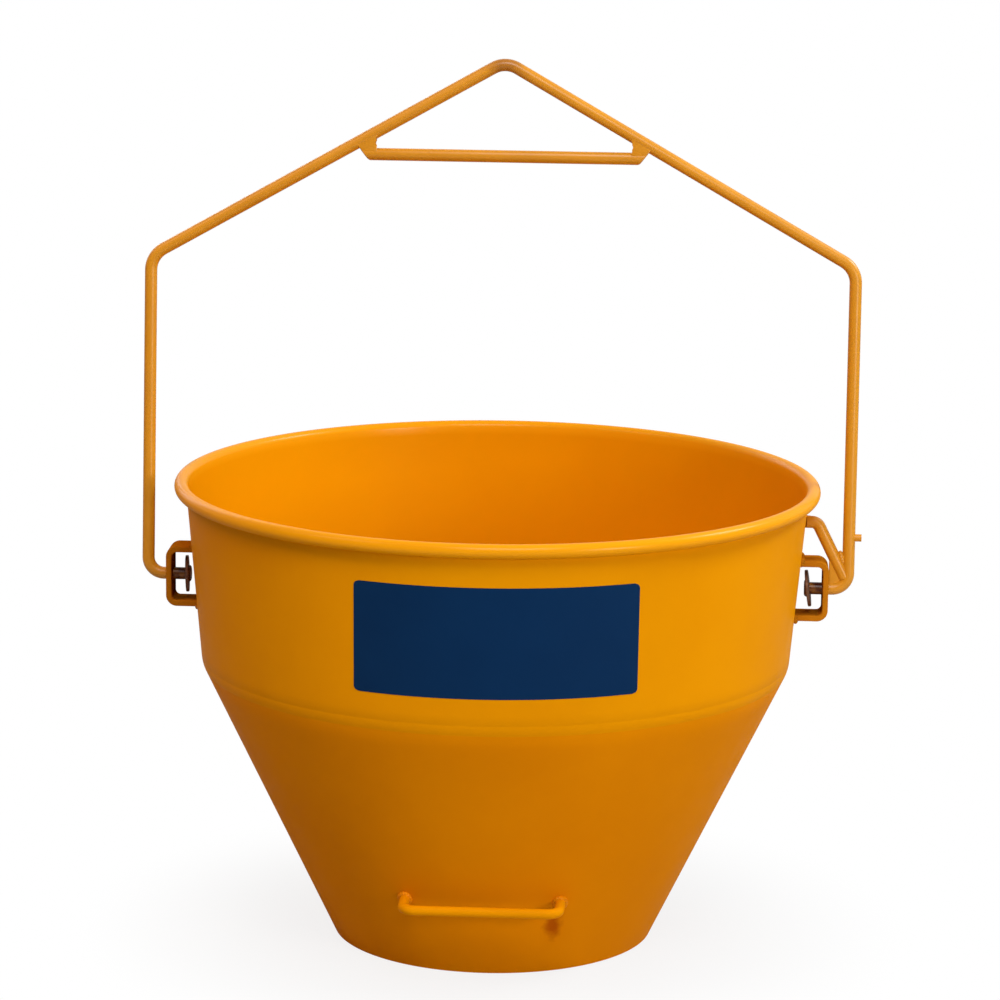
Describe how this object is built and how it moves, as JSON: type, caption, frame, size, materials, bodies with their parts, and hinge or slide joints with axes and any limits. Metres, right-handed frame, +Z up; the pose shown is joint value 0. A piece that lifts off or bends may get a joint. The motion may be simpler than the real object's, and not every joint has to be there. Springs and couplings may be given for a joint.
{
  "type": "hoist bucket",
  "caption": "Round steel hoist bucket with an upper band over a tapered cone, wired rim, low tipping handle and a bar bail with a hook eye that swings on side straps and leans on a stop.",
  "frame": {"origin": "on the floor at the middle of the bottom plate", "axes": "+Z up, X along the bail pivot axis with the stop arm at +X, -Y towards the tipping handle"},
  "size_m": [0.5874, 0.524, 0.7136],
  "materials": {
    "shell_paint": "amber-orange gloss coat over rolled sheet",
    "bail_paint": "amber-orange gloss coat over round and flat bar",
    "weld_paint": "amber-orange coat over rippled weld",
    "washer_steel": "dark bare steel with brown rust bloom",
    "wire_steel": "plain drawn wire, closed inside the rim"
  },
  "bodies": {
    "bucket": {"upper_band": "shell_paint", "rim_wire": "wire_steel", "lower_cone": "shell_paint", "bottom_disc": "shell_paint", "knee_welds": "weld_paint", "bottom_weld": "weld_paint", "band_seam_weld": "weld_paint", "cone_seam_weld": "weld_paint", "right_pivot_strap": "shell_paint", "left_pivot_strap": "shell_paint", "right_strap_welds": "weld_paint", "left_strap_welds": "weld_paint", "stop_lug": "shell_paint", "stop_lug_weld": "weld_paint", "tipping_handle": "shell_paint", "tipping_handle_welds": "weld_paint"},
    "bail": {"bail_bar": "bail_paint", "hook_bar": "bail_paint", "hook_bar_welds": "weld_paint", "right_end_washer": "washer_steel", "left_end_washer": "washer_steel", "end_washer_welds": "washer_steel", "stop_arm": "bail_paint", "stop_arm_weld": "weld_paint", "leg_stud": "bail_paint"}
  },
  "joints": [
    {"name": "bail_swing", "type": "hinge", "parent": "bucket", "child": "bail", "pos_m": [0, 0, 0.292], "axis": [1, 0, 0], "range_deg": [0, 135]}
  ]
}
